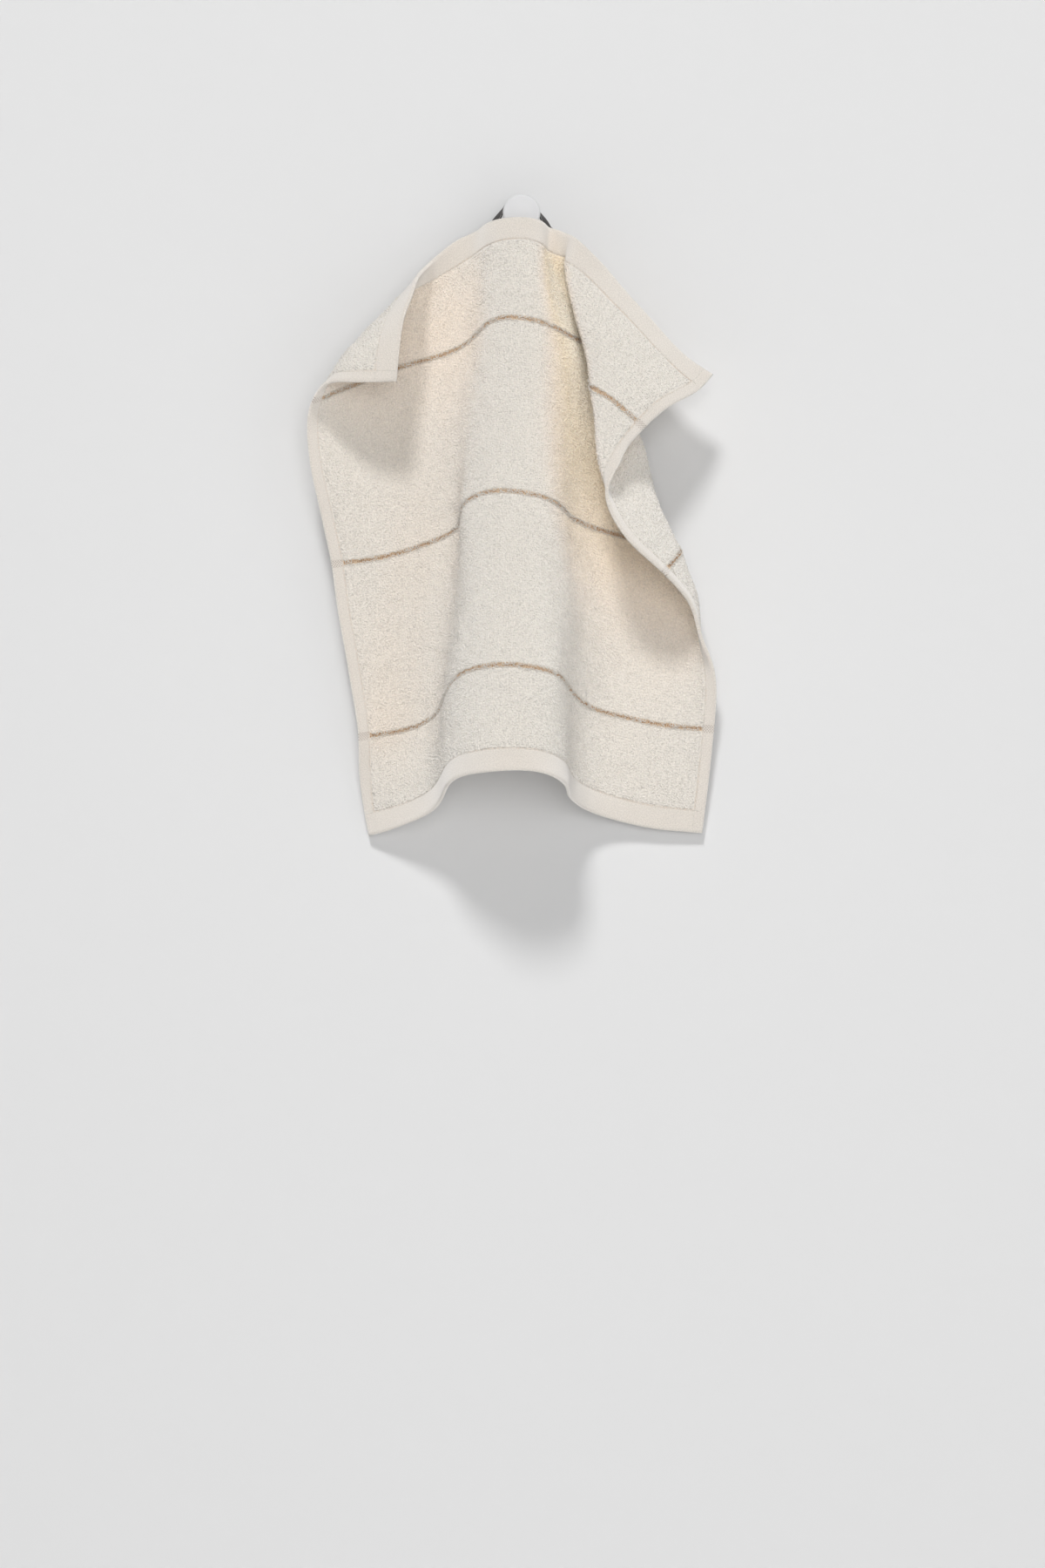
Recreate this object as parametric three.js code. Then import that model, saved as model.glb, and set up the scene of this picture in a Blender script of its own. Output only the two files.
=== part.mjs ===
// A square terry washcloth that hangs by a dark tape loop from a round wall peg.
// Millimetres. +X is to the right, +Y goes into the wall, +Z is up.
// The origin is the middle of the peg's back, which lies flat on the wall at y = 0.

import * as THREE from 'three';

// Cloth, as it was cut and woven
const side = 300;
const pileThickness = 3.2;
const hemThickness = 1.8;
const endHem = 12;
const sideHem = 6;
const hemFade = 3;
const stripesDown = [55, 150, 245];

// Wall peg
const stemRadius = 7.5;
const stemLength = 24;
const headRadius = 10;
const headThickness = 4;
const headEdge = 0.8;
const pegSides = 48;

// Hanging loop
const tapeWidth = 9.5;
const tapeThickness = 0.9;
const tapeGap = 0.4;
const tapeOut = 18;
const sewnGap = 0.95;
const sewnAcross = { left: 25, right: 25 };
const sewnDown = [1, 6, 11];
const stepsPerKey = 3;

// Over the stem: degrees from the top, and how far the tape lifts off the stem there
const archKeys = [
  { degrees: -48, lift: 1.8 },
  { degrees: -30, lift: 0.7 },
  { degrees: -12, lift: 0.1 },
  { degrees: 6, lift: 0 },
  { degrees: 24, lift: 0 },
  { degrees: 42, lift: 0 },
  { degrees: 57, lift: 0.5 },
];

// Beside the head, on its way to the hem: degrees is how far the tape has turned to face the front
const legKeys = {
  left: { x: -14, out: 19.3, z: -3, degrees: 32 },
  right: { x: 13, out: 18.4, z: -4.6, degrees: 30 },
};

// How the cloth is worked out: a coarse net first, then one of half the cell
const coarseCells = 24;
const coarseRounds = 400;
const fineRounds = 300;
const smoothing = 0.02;
const smoothingPasses = 4;
const pull = 0.35;
const pullSpread = 8;
const slack = 0.06;
const softness = 0.05;
const shearStrength = 0.2;
const lengthPasses = 2;
const nearestToWall = 3.5;

// One point of a fold: its place on the flat cloth, across from the left side and down from the
// top hem, and then where it hangs: x, how far out from the wall, and z.
const at = (across, down, x, out, z) => ({ across, down, hung: [x, out, z] });

// A level of the cloth that runs along one stripe or hem, from left to right
const level = (down, ...places) => places.map(([across, x, out, z]) => at(across, down, x, out, z));

const folds = {
  topHem: level(0,
    [84, -48, 24, -27], [104, -34, 18, -13], [116, -25, 15, -7], [131, -18, 28, -6],
    [150, -1, 33, -3], [162, 10, 31, -5], [173, 14, 23, -6], [186, 22, 28, -10],
    [198, 29, 34, -15], [220, 47, 36, -29], [248, 65, 37, -53]),
  firstStripe: level(stripesDown[0],
    [27, -92, 26, -94], [57, -67, 15, -81], [80, -46, 12, -75], [104, -27, 23, -69],
    [136, -9, 45, -58], [156, 10, 42, -61], [170, 19, 33, -64], [190, 32, 22, -70]),
  secondStripe: level(stripesDown[1],
    [34, -70, 14, -182], [65, -42, 15, -172], [78, -34, 24, -168], [105, -30, 48, -157],
    [122, -19, 61, -152], [136, -8, 66, -152], [153, 8, 63, -154], [171, 19, 50, -158],
    [192, 27, 31, -164], [221, 47, 11, -170]),
  thirdStripe: level(stripesDown[2],
    [28, -62, 10, -276], [47, -47, 19, -269], [77, -39, 46, -257], [101, -32, 67, -248],
    [122, -19, 82, -244], [137, -6, 88, -243], [156, 12, 84, -246], [176, 21, 67, -250],
    [209, 29, 37, -259], [236, 43, 16, -266], [268, 73, 10, -273]),
  bottomHem: level(side,
    [0, -82, 5, -332], [28, -61, 22, -325], [53, -46, 39, -317], [78, -40, 60, -307],
    [101, -31, 77, -300], [120, -17, 91, -298], [135, -4, 94, -297], [151, 10, 89, -298],
    [178, 23, 68, -305], [223, 31, 27, -316], [251, 51, 11, -324], [275, 73, 7, -329],
    [side, 97, 5, -331]),
  leftCornerFoldedForward: [
    at(50, 0, -56, 52, -47), at(28, 0, -62, 60, -66), at(0, 0, -66, 58, -93),
    at(0, 28, -93, 58, -95), at(0, 46, -105, 50, -96)],
  leftCornerFold: [
    at(62, 11, -63, 36, -44), at(41, 24, -80, 38, -62), at(19, 36, -94, 42, -78),
    at(0, 57, -111, 43, -103)],
  leftSide: [
    at(0, 95, -112, 35, -138), at(0, 150, -101, 24, -187), at(0, 198, -94, 21, -234),
    at(0, 245, -87, 18, -279)],
  rightFlap: [
    at(side, 0, 101, 37, -86), at(290, 12, 87, 43, -91), at(side, 55, 65, 57, -118),
    at(side, 77, 51, 64, -133), at(side, 98, 45, 69, -153)],
  rightFlapCrest: [
    at(209, 12, 23, 40, -28), at(222, 22, 26, 44, -44), at(236, 33, 30, 49, -61),
    at(263, 55, 37, 57, -95), at(282, 77, 41, 64, -126)],
  turnUnderTheFlap: [
    at(210, 32, 31, 28, -46), at(224, 57, 47, 24, -79), at(245, 98, 65, 24, -128),
    at(265, 150, 84, 26, -180), at(284, 175, 94, 24, -204)],
  rightSide: [
    at(side, 124, 54, 66, -177), at(side, 150, 74, 56, -193), at(side, 188, 94, 36, -223),
    at(side, 203, 99, 27, -235), at(side, 246, 103, 12, -276)],
};

// The net of the cloth: one knot for each crossing, counted across and then down
class Net {
  constructor(cells) {
    this.cells = cells;
    this.knots = cells + 1;
    this.step = side / cells;
    this.xyz = new Float64Array(3 * this.knots * this.knots);
  }

  index(i, j) {
    return 3 * (i * this.knots + j);
  }

  eachKnot(visit) {
    for (let i = 0; i < this.knots; i += 1) {
      for (let j = 0; j < this.knots; j += 1) {
        visit(i, j, this.index(i, j));
      }
    }
  }

  // The four knots round a place on the flat cloth, and how much each one counts there
  around(across, down) {
    const almost = this.cells - 1e-6;
    const a = Math.min(across / this.step, almost);
    const b = Math.min(down / this.step, almost);
    const i = Math.floor(a);
    const j = Math.floor(b);
    const p = a - i;
    const q = b - j;
    return [
      [this.index(i, j), (1 - p) * (1 - q)],
      [this.index(i + 1, j), p * (1 - q)],
      [this.index(i, j + 1), (1 - p) * q],
      [this.index(i + 1, j + 1), p * q],
    ];
  }

  place(corners) {
    return [0, 1, 2].map((axis) => corners.reduce((sum, [k, share]) => sum + share * this.xyz[k + axis], 0));
  }
}

// Solves a square system of equations with several right-hand columns, by elimination
function solve(rows, columns) {
  const count = rows.length;
  for (let c = 0; c < count; c += 1) {
    let best = c;
    for (let r = c + 1; r < count; r += 1) {
      if (Math.abs(rows[r][c]) > Math.abs(rows[best][c])) best = r;
    }
    [rows[c], rows[best]] = [rows[best], rows[c]];
    [columns[c], columns[best]] = [columns[best], columns[c]];
    for (let r = 0; r < count; r += 1) {
      if (r === c) continue;
      const factor = rows[r][c] / rows[c][c];
      if (factor === 0) continue;
      for (let k = c; k < count; k += 1) rows[r][k] -= factor * rows[c][k];
      columns[r] = columns[r].map((value, axis) => value - factor * columns[c][axis]);
    }
  }
  return columns.map((values, c) => values.map((value) => value / rows[c][c]));
}

const plateBend = (squared) => (squared > 0 ? squared * Math.log(squared) : 0);

// First shape: the smoothest thin plate through every point of the folds
function guide(net, points) {
  const spots = points.map(({ across, down }) => [across / side, down / side]);
  const between = (a, b) => plateBend((a[0] - b[0]) ** 2 + (a[1] - b[1]) ** 2);
  const rows = spots.map((spot) => [...spots.map((other) => between(spot, other)), 1, ...spot]);
  const zeros = [0, 0, 0];
  rows.push([...spots.map(() => 1), ...zeros]);
  rows.push([...spots.map((spot) => spot[0]), ...zeros]);
  rows.push([...spots.map((spot) => spot[1]), ...zeros]);
  const weights = solve(rows, [...points.map(({ hung }) => [...hung]), [...zeros], [...zeros], [...zeros]]);
  net.eachKnot((i, j, k) => {
    const spot = [i / net.cells, j / net.cells];
    const terms = [...spots.map((other) => between(spot, other)), 1, ...spot];
    for (let axis = 0; axis < 3; axis += 1) {
      net.xyz[k + axis] = terms.reduce((sum, term, row) => sum + term * weights[row][axis], 0);
    }
  });
}

// Evens out the curvature along the cloth, across it and along both diagonals
const bendWays = [[1, 0, 1], [0, 1, 1], [1, 1, 0.5], [1, -1, 0.5]];

function smooth(net) {
  const change = new Float64Array(net.xyz.length);
  for (const [di, dj, weight] of bendWays) {
    const reach = net.index(di, dj);
    for (let i = di; i < net.knots - di; i += 1) {
      for (let j = Math.abs(dj); j < net.knots - Math.abs(dj); j += 1) {
        const k = net.index(i, j);
        for (let axis = k; axis < k + 3; axis += 1) {
          const curve = weight * (net.xyz[axis + reach] - 2 * net.xyz[axis] + net.xyz[axis - reach]);
          change[axis + reach] += curve;
          change[axis] -= 2 * curve;
          change[axis - reach] += curve;
        }
      }
    }
  }
  for (let k = 0; k < change.length; k += 1) net.xyz[k] -= smoothing * change[k];
}

// Which knots a point of a fold pulls on, and how strongly
function pullOf(net, { across, down, hung }) {
  const near = [];
  net.eachKnot((i, j, k) => {
    const squared = (i * net.step - across) ** 2 + (j * net.step - down) ** 2;
    const strength = Math.exp(-squared / (2 * pullSpread ** 2));
    if (strength >= 0.01) near.push([k, pull * strength]);
  });
  return { near, hung, corners: net.around(across, down) };
}

function applyPull(net, { near, hung, corners }) {
  const now = net.place(corners);
  for (const [k, strength] of near) {
    for (let axis = 0; axis < 3; axis += 1) net.xyz[k + axis] += strength * (hung[axis] - now[axis]);
  }
}

// Terry stretches hardly at all, but takes up a little slack before it pushes back
function keepLength(net, a, b, length, strength) {
  const { xyz } = net;
  const dx = xyz[b] - xyz[a];
  const dy = xyz[b + 1] - xyz[a + 1];
  const dz = xyz[b + 2] - xyz[a + 2];
  const now = Math.hypot(dx, dy, dz);
  const over = now - length;
  const room = slack * length;
  let move = softness * over;
  if (over > 0) move = strength * over;
  if (over < -room) move = strength * (over + room) - softness * room;
  const share = 0.5 * move / Math.max(now, 1e-9);
  xyz[a] += share * dx;
  xyz[a + 1] += share * dy;
  xyz[a + 2] += share * dz;
  xyz[b] -= share * dx;
  xyz[b + 1] -= share * dy;
  xyz[b + 2] -= share * dz;
}

// Every second thread in one go, then the ones between
function keepThreads(net, di, dj, strength, phase) {
  const length = net.step * Math.hypot(di, dj);
  for (let i = 0; i < net.knots - di; i += 1) {
    for (let j = Math.max(0, -dj); j < net.knots - Math.max(0, dj); j += 1) {
      if ((di ? i : j) % 2 === phase) {
        keepLength(net, net.index(i, j), net.index(i + di, j + dj), length, strength);
      }
    }
  }
}

function settle(net, points, rounds) {
  const pulls = points.map((point) => pullOf(net, point));
  for (let round = 0; round < rounds; round += 1) {
    for (let pass = 0; pass < smoothingPasses; pass += 1) smooth(net);
    for (const each of pulls) applyPull(net, each);
    for (let pass = 0; pass < lengthPasses; pass += 1) {
      for (const phase of [0, 1]) {
        keepThreads(net, 1, 0, 1, phase);
        keepThreads(net, 0, 1, 1, phase);
      }
      for (const phase of [0, 1]) {
        keepThreads(net, 1, 1, shearStrength, phase);
        keepThreads(net, 1, -1, shearStrength, phase);
      }
    }
    for (let k = 1; k < net.xyz.length; k += 3) net.xyz[k] = Math.max(net.xyz[k], nearestToWall);
  }
}

// A net of half the cell: the new knots lie on a cubic through the four nearest old ones
function refine(coarse) {
  const fine = new Net(2 * coarse.cells);
  coarse.eachKnot((i, j, k) => {
    const to = fine.index(2 * i, 2 * j);
    for (let axis = 0; axis < 3; axis += 1) fine.xyz[to + axis] = coarse.xyz[k + axis];
  });
  const fill = (first, step) => {
    for (let m = 0; m < coarse.cells; m += 1) {
      for (let axis = 0; axis < 3; axis += 1) {
        const here = first + axis + 2 * m * step;
        const left = fine.xyz[here];
        const right = fine.xyz[here + 2 * step];
        const before = m > 0 ? fine.xyz[here - 2 * step] : 2 * left - right;
        const after = m < coarse.cells - 1 ? fine.xyz[here + 4 * step] : 2 * right - left;
        fine.xyz[here + step] = (9 * (left + right) - before - after) / 16;
      }
    }
  };
  const across = fine.index(1, 0);
  const down = fine.index(0, 1);
  for (let j = 0; j < fine.knots; j += 2) fill(fine.index(0, j), across);
  for (let i = 0; i < fine.knots; i += 1) fill(fine.index(i, 0), down);
  return fine;
}

function hangCloth() {
  const points = Object.values(folds).flat();
  const coarse = new Net(coarseCells);
  guide(coarse, points);
  settle(coarse, points, coarseRounds);
  const fine = refine(coarse);
  settle(fine, points, fineRounds);
  return fine;
}

const cloth = hangCloth();

const knotPlace = (i, j) => {
  const k = cloth.index(i, j);
  return new THREE.Vector3(cloth.xyz[k], -cloth.xyz[k + 1], cloth.xyz[k + 2]);
};

// Points out of the cloth's front
function frontNormal(i, j) {
  const last = cloth.cells;
  const across = knotPlace(Math.min(i + 1, last), j).sub(knotPlace(Math.max(i - 1, 0), j));
  const down = knotPlace(i, Math.min(j + 1, last)).sub(knotPlace(i, Math.max(j - 1, 0)));
  return down.cross(across).normalize();
}

// Hems are thin, and the pile starts just inside them
function thicknessAt(i, j) {
  const inside = (count) => Math.min(count, cloth.cells - count) * cloth.step;
  const pastHem = Math.min(inside(i) - sideHem, inside(j) - endHem);
  return THREE.MathUtils.lerp(hemThickness, pileThickness, THREE.MathUtils.smoothstep(pastHem, 0, hemFade));
}

function clothGeometry() {
  const positions = [];
  for (const face of [1, -1]) {
    cloth.eachKnot((i, j) => {
      const offset = frontNormal(i, j).multiplyScalar(face * thicknessAt(i, j) / 2);
      positions.push(...knotPlace(i, j).add(offset).toArray());
    });
  }
  const back = cloth.knots * cloth.knots;
  const id = (i, j) => i * cloth.knots + j;
  const triangles = [];
  const addFace = (a, b, c) => {
    triangles.push(a, b, c);
    triangles.push(back + a, back + c, back + b);
  };
  for (let i = 0; i < cloth.cells; i += 1) {
    for (let j = 0; j < cloth.cells; j += 1) {
      const a = id(i, j);
      const b = id(i + 1, j);
      const c = id(i + 1, j + 1);
      const d = id(i, j + 1);
      // The cells are split along the slanting folds, which run down and outward from the peg
      if (2 * i < cloth.cells) {
        addFace(a, d, b);
        addFace(b, d, c);
      } else {
        addFace(a, d, c);
        addFace(a, c, b);
      }
    }
  }
  const last = cloth.cells;
  const rim = [];
  for (let m = 0; m < last; m += 1) rim.push(id(m, 0));
  for (let m = 0; m < last; m += 1) rim.push(id(last, m));
  for (let m = last; m > 0; m -= 1) rim.push(id(m, last));
  for (let m = last; m > 0; m -= 1) rim.push(id(0, m));
  rim.forEach((p, m) => {
    const q = rim[(m + 1) % rim.length];
    triangles.push(p, q, back + q);
    triangles.push(p, back + q, back + p);
  });
  const geometry = new THREE.BufferGeometry();
  geometry.setAttribute('position', new THREE.Float32BufferAttribute(positions, 3));
  geometry.setIndex(triangles);
  geometry.computeVertexNormals();
  return geometry;
}

// A place a little behind the hem
function behindHem(across, down, distance) {
  const offset = new THREE.Vector3();
  for (const [k, share] of cloth.around(across, down)) {
    const knot = k / 3;
    const normal = frontNormal(Math.floor(knot / cloth.knots), knot % cloth.knots);
    offset.addScaledVector(normal, -share * (hemThickness / 2 + distance));
  }
  const [x, out, z] = cloth.place(cloth.around(across, down));
  return new THREE.Vector3(x, -out, z).add(offset);
}

// The tape goes over the stem edge-on, passes the head and turns to lie flat behind the top hem.
// Each key is a place on its middle line and the way its width points there, towards the wall.
function loopKeys() {
  const radius = stemRadius + tapeGap + tapeThickness / 2;
  const arch = archKeys.map(({ degrees, lift }) => {
    const turn = THREE.MathUtils.degToRad(degrees);
    const place = new THREE.Vector3(Math.sin(turn), 0, Math.cos(turn)).multiplyScalar(radius + lift);
    place.y = -tapeOut;
    return { place, widthWay: new THREE.Vector3(0, 1, 0) };
  });
  const leg = ({ x, out, z, degrees }, way) => {
    const turn = THREE.MathUtils.degToRad(degrees);
    const widthWay = new THREE.Vector3(way * Math.sin(turn), Math.cos(turn), 0);
    return { place: new THREE.Vector3(x, -out, z), widthWay };
  };
  const sewn = (way, across) => sewnDown.map((down) => {
    const distance = sewnGap + tapeThickness / 2;
    const inner = behindHem(side / 2 + way * (across - tapeWidth / 2), down, distance);
    const outer = behindHem(side / 2 + way * (across + tapeWidth / 2), down, distance);
    const place = behindHem(side / 2 + way * across, down, distance);
    return { place, widthWay: outer.sub(inner).normalize() };
  });
  return [
    ...sewn(-1, sewnAcross.left).reverse(), leg(legKeys.left, -1), ...arch,
    leg(legKeys.right, 1), ...sewn(1, sewnAcross.right)];
}

function loopGeometry() {
  const keys = loopKeys();
  const path = new THREE.CatmullRomCurve3(keys.map(({ place }) => place), false, 'centripetal');
  const steps = (keys.length - 1) * stepsPerKey;
  const positions = [];
  for (let s = 0; s <= steps; s += 1) {
    const place = path.getPoint(s / steps);
    const tangent = path.getTangent(s / steps);
    const key = Math.min(Math.floor(s / stepsPerKey), keys.length - 2);
    const part = THREE.MathUtils.smoothstep(s / stepsPerKey - key, 0, 1);
    const widthWay = keys[key].widthWay.clone().lerp(keys[key + 1].widthWay, part);
    widthWay.addScaledVector(tangent, -widthWay.dot(tangent)).normalize();
    const flatWay = new THREE.Vector3().crossVectors(tangent, widthWay);
    for (const [w, f] of [[-1, -1], [1, -1], [1, 1], [-1, 1]]) {
      const corner = place.clone().addScaledVector(widthWay, w * tapeWidth / 2);
      corner.addScaledVector(flatWay, f * tapeThickness / 2);
      positions.push(...corner.toArray());
    }
  }
  const triangles = [0, 2, 1, 0, 3, 2];
  for (let s = 0; s < steps; s += 1) {
    for (let m = 0; m < 4; m += 1) {
      const a = 4 * s + m;
      const b = 4 * s + ((m + 1) % 4);
      triangles.push(a, b, b + 4);
      triangles.push(a, b + 4, a + 4);
    }
  }
  const end = 4 * steps;
  triangles.push(end, end + 1, end + 2, end, end + 2, end + 3);
  const geometry = new THREE.BufferGeometry();
  geometry.setAttribute('position', new THREE.Float32BufferAttribute(positions, 3));
  geometry.setIndex(triangles);
  geometry.computeVertexNormals();
  return geometry;
}

// Stem and round head turned in one piece, with the back flat and the head's rims eased
function pegGeometry() {
  const front = stemLength + headThickness;
  const profile = [
    [0, 0],
    [stemRadius, 0],
    [stemRadius, stemLength],
    [headRadius - headEdge, stemLength],
    [headRadius, stemLength + headEdge],
    [headRadius, front - headEdge],
    [headRadius - headEdge * 0.3, front - headEdge * 0.3],
    [headRadius - headEdge, front],
    [0, front],
  ];
  const points = profile.map(([radius, out]) => new THREE.Vector2(radius, out));
  const geometry = new THREE.LatheGeometry(points, pegSides);
  geometry.rotateX(Math.PI);
  return geometry;
}

const material = (color, roughness) => new THREE.MeshStandardMaterial({ color, roughness, metalness: 0 });

function addPiece(group, name, geometry, look) {
  const mesh = new THREE.Mesh(geometry, look);
  mesh.name = name;
  group.add(mesh);
}

const group = new THREE.Group();
addPiece(group, 'cloth', clothGeometry(), material(0xece8e1, 0.95));
addPiece(group, 'hanging_loop', loopGeometry(), material(0x34312f, 0.85));
addPiece(group, 'wall_peg', pegGeometry(), material(0xe3e4e6, 0.35));

export default group;
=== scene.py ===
# A square terry washcloth that hangs by a dark tape loop from a round wall peg.
# The folds are in millimetres, as x, distance out from the wall, and z.
import math

import bpy
import numpy as np
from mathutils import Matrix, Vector
from mathutils.bvhtree import BVHTree


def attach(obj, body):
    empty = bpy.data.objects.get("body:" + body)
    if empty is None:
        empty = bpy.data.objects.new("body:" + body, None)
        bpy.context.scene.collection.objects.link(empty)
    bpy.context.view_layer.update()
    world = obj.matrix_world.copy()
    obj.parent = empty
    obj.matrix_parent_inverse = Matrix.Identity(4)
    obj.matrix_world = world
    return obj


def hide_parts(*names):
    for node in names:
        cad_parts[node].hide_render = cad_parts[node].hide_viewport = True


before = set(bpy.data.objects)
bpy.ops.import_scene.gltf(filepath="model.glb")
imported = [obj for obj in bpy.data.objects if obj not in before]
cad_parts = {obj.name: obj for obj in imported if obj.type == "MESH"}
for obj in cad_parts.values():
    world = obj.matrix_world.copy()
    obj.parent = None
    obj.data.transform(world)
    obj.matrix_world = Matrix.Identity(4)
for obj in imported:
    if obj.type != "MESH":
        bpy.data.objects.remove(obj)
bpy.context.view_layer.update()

metre = 0.001                       # a millimetre, in Blender's metres
print("packed frame loaded")


# The cloth as it was cut and woven, all in millimetres

cloth = {
    "side": 300,
    "stripesDown": (55, 150, 245),
    "stripeHalf": 1.5,              # half the width of a stripe between the pile
    "endHem": 12,
    "sideHem": 6,
    "hemFade": 2.5,                 # from the hem's seam to the full thickness of the terry
    "hemHalf": 0.95,                # half the thickness of a hem
    "groundHalf": 1.05,             # half the thickness of the ground under the pile
    "stripeDip": 0.3,
    "seamDip": 0.35,
    "seamHalf": 0.5,
    "stripeDipEdge": (0.7, 1.3),    # from the middle of a stripe
    "edgeRound": 0.55,              # how far the folded edge of a hem rounds out
    "cell": 1.6,                    # of the mesh
    "seamLine": 0.7,                # the mesh has a line this far on both sides of each seam
    "stripeLines": (-1.4, -0.6, 0.6, 1.4),          # and these across each stripe
    "lumps": ((9, 0.16, 11), (3.4, 0.1, 12)),       # size, height and seed
    "backSeeds": 100,               # added to those seeds on the back
    "unevenness": ((46, 0.5, 21), (23, 0.25, 22)),
}
side = cloth["side"]


# One point of a fold is its place on the flat cloth, across and down, then x, out and z where it hangs

def level(down, *places):
    return [(across, down, *hung) for across, *hung in places]


folds = {
    "topHem": level(
        0, (84, -48, 24, -27), (104, -34, 18, -13), (116, -25, 15, -7), (131, -18, 28, -6),
        (150, -1, 33, -3), (162, 10, 31, -5), (173, 14, 23, -6), (186, 22, 28, -10),
        (198, 29, 34, -15), (220, 47, 36, -29), (248, 65, 37, -53)),
    "firstStripe": level(
        55, (27, -92, 26, -94), (57, -67, 15, -81), (80, -46, 12, -75), (104, -27, 23, -69),
        (136, -9, 45, -58), (156, 10, 42, -61), (170, 19, 33, -64), (190, 32, 22, -70)),
    "secondStripe": level(
        150, (34, -70, 14, -182), (65, -42, 15, -172), (78, -34, 24, -168), (105, -30, 48, -157),
        (122, -19, 61, -152), (136, -8, 66, -152), (153, 8, 63, -154), (171, 19, 50, -158),
        (192, 27, 31, -164), (221, 47, 11, -170)),
    "thirdStripe": level(
        245, (28, -62, 10, -276), (47, -47, 19, -269), (77, -39, 46, -257), (101, -32, 67, -248),
        (122, -19, 82, -244), (137, -6, 88, -243), (156, 12, 84, -246), (176, 21, 67, -250),
        (209, 29, 37, -259), (236, 43, 16, -266), (268, 73, 10, -273)),
    "bottomHem": level(
        300, (0, -82, 5, -332), (28, -61, 22, -325), (53, -46, 39, -317), (78, -40, 60, -307),
        (101, -31, 77, -300), (120, -17, 91, -298), (135, -4, 94, -297), (151, 10, 89, -298),
        (178, 23, 68, -305), (223, 31, 27, -316), (251, 51, 11, -324), (275, 73, 7, -329),
        (300, 97, 5, -331)),
    "leftCornerFoldedForward": [
        (50, 0, -56, 52, -47), (28, 0, -62, 60, -66), (0, 0, -66, 58, -93),
        (0, 28, -93, 58, -95), (0, 46, -105, 50, -96)],
    "leftCornerFold": [
        (62, 11, -63, 36, -44), (41, 24, -80, 38, -62), (19, 36, -94, 42, -78),
        (0, 57, -111, 43, -103)],
    "leftSide": [
        (0, 95, -112, 35, -138), (0, 150, -101, 24, -187), (0, 198, -94, 21, -234),
        (0, 245, -87, 18, -279)],
    "rightFlap": [
        (300, 0, 101, 37, -86), (290, 12, 87, 43, -91), (300, 55, 65, 57, -118),
        (300, 77, 51, 64, -133), (300, 98, 45, 69, -153)],
    "rightFlapCrest": [
        (209, 12, 23, 40, -28), (222, 22, 26, 44, -44), (236, 33, 30, 49, -61),
        (263, 55, 37, 57, -95), (282, 77, 41, 64, -126)],
    "turnUnderTheFlap": [
        (210, 32, 31, 28, -46), (224, 57, 47, 24, -79), (245, 98, 65, 24, -128),
        (265, 150, 84, 26, -180), (284, 175, 94, 24, -204)],
    "rightSide": [
        (300, 124, 54, 66, -177), (300, 150, 74, 56, -193), (300, 188, 94, 36, -223),
        (300, 203, 99, 27, -235), (300, 246, 103, 12, -276)],
}

drape = {
    "coarseCells": 24,
    "coarseRounds": 400,
    "fineRounds": 300,
    "smoothing": 0.02,
    "smoothingPasses": 4,
    "pull": 0.35,
    "pullSpread": 8,
    "slack": 0.06,                  # terry gives this share of its length before it pushes back
    "softness": 0.05,
    "shear": 0.2,
    "leastPull": 0.01,
    "lengthPasses": 2,
    "nearestToWall": 3.5,
}


def thinPlate(points, cells):       # the smoothest plate through every point of the folds
    spots, hung = points[:, :2] / side, points[:, 2:]

    def bend(a, b):
        squared = ((a[:, None] - b[None]) ** 2).sum(-1)
        return squared * np.log(np.maximum(squared, 1e-30))

    flat = np.column_stack([np.ones(len(spots)), spots])
    system = np.block([[bend(spots, spots), flat], [flat.T, np.zeros((3, 3))]])
    weights = np.linalg.solve(system, np.vstack([hung, np.zeros((3, 3))]))
    line = np.linspace(0, 1, cells + 1)
    knots = np.stack(np.meshgrid(line, line, indexing="ij"), -1).reshape(-1, 2)
    terms = np.column_stack([bend(knots, spots), np.ones(len(knots)), knots])
    return (terms @ weights).reshape(cells + 1, cells + 1, 3)


before, here, after, every = slice(None, -2), slice(1, -1), slice(2, None), slice(None)
bendWays = (
    ((before, every), (here, every), (after, every), 1.0),
    ((every, before), (every, here), (every, after), 1.0),
    ((before, before), (here, here), (after, after), 0.5),
    ((before, after), (here, here), (after, before), 0.5),
)


def evenOut(net):                   # the cloth's stiffness, across, down and along both diagonals
    change = np.zeros_like(net)
    for first, middle, last, weight in bendWays:
        curve = weight * (net[first] - 2 * net[middle] + net[last])
        change[first] += curve
        change[middle] -= 2 * curve
        change[last] += curve
    net -= drape["smoothing"] * change


def pullsOf(points, cells):         # which knots each point of a fold pulls on, and how strongly
    step = side / cells
    stations = np.arange(cells + 1) * step
    pulls = []
    for across, down, *hung in points:
        near = np.outer(*(
            np.exp(-(stations - middle) ** 2 / (2 * drape["pullSpread"] ** 2))
            for middle in (across, down)))
        near[near < drape["leastPull"]] = 0
        rows, columns = near.any(1).nonzero()[0], near.any(0).nonzero()[0]
        patch = (slice(rows[0], rows[-1] + 1), slice(columns[0], columns[-1] + 1))
        a, b = (min(place / step, cells - 1e-6) for place in (across, down))
        i, j = int(a), int(b)
        share = np.outer((1 - a + i, a - i), (1 - b + j, b - j))[..., None]
        corners = (slice(i, i + 2), slice(j, j + 2))
        pulls.append((patch, drape["pull"] * near[patch][..., None], corners, share, np.array(hung)))
    return pulls


def keepLength(a, b, length, strength):
    apart = b - a
    now = np.linalg.norm(apart, axis=-1)
    over, room = now - length, drape["slack"] * length
    move = np.where(over > 0, strength * over, drape["softness"] * over)
    move = np.where(over < -room, strength * (over + room) - drape["softness"] * room, move)
    change = (0.5 * move / np.maximum(now, 1e-9))[..., None] * apart
    a += change
    b -= change


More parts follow.
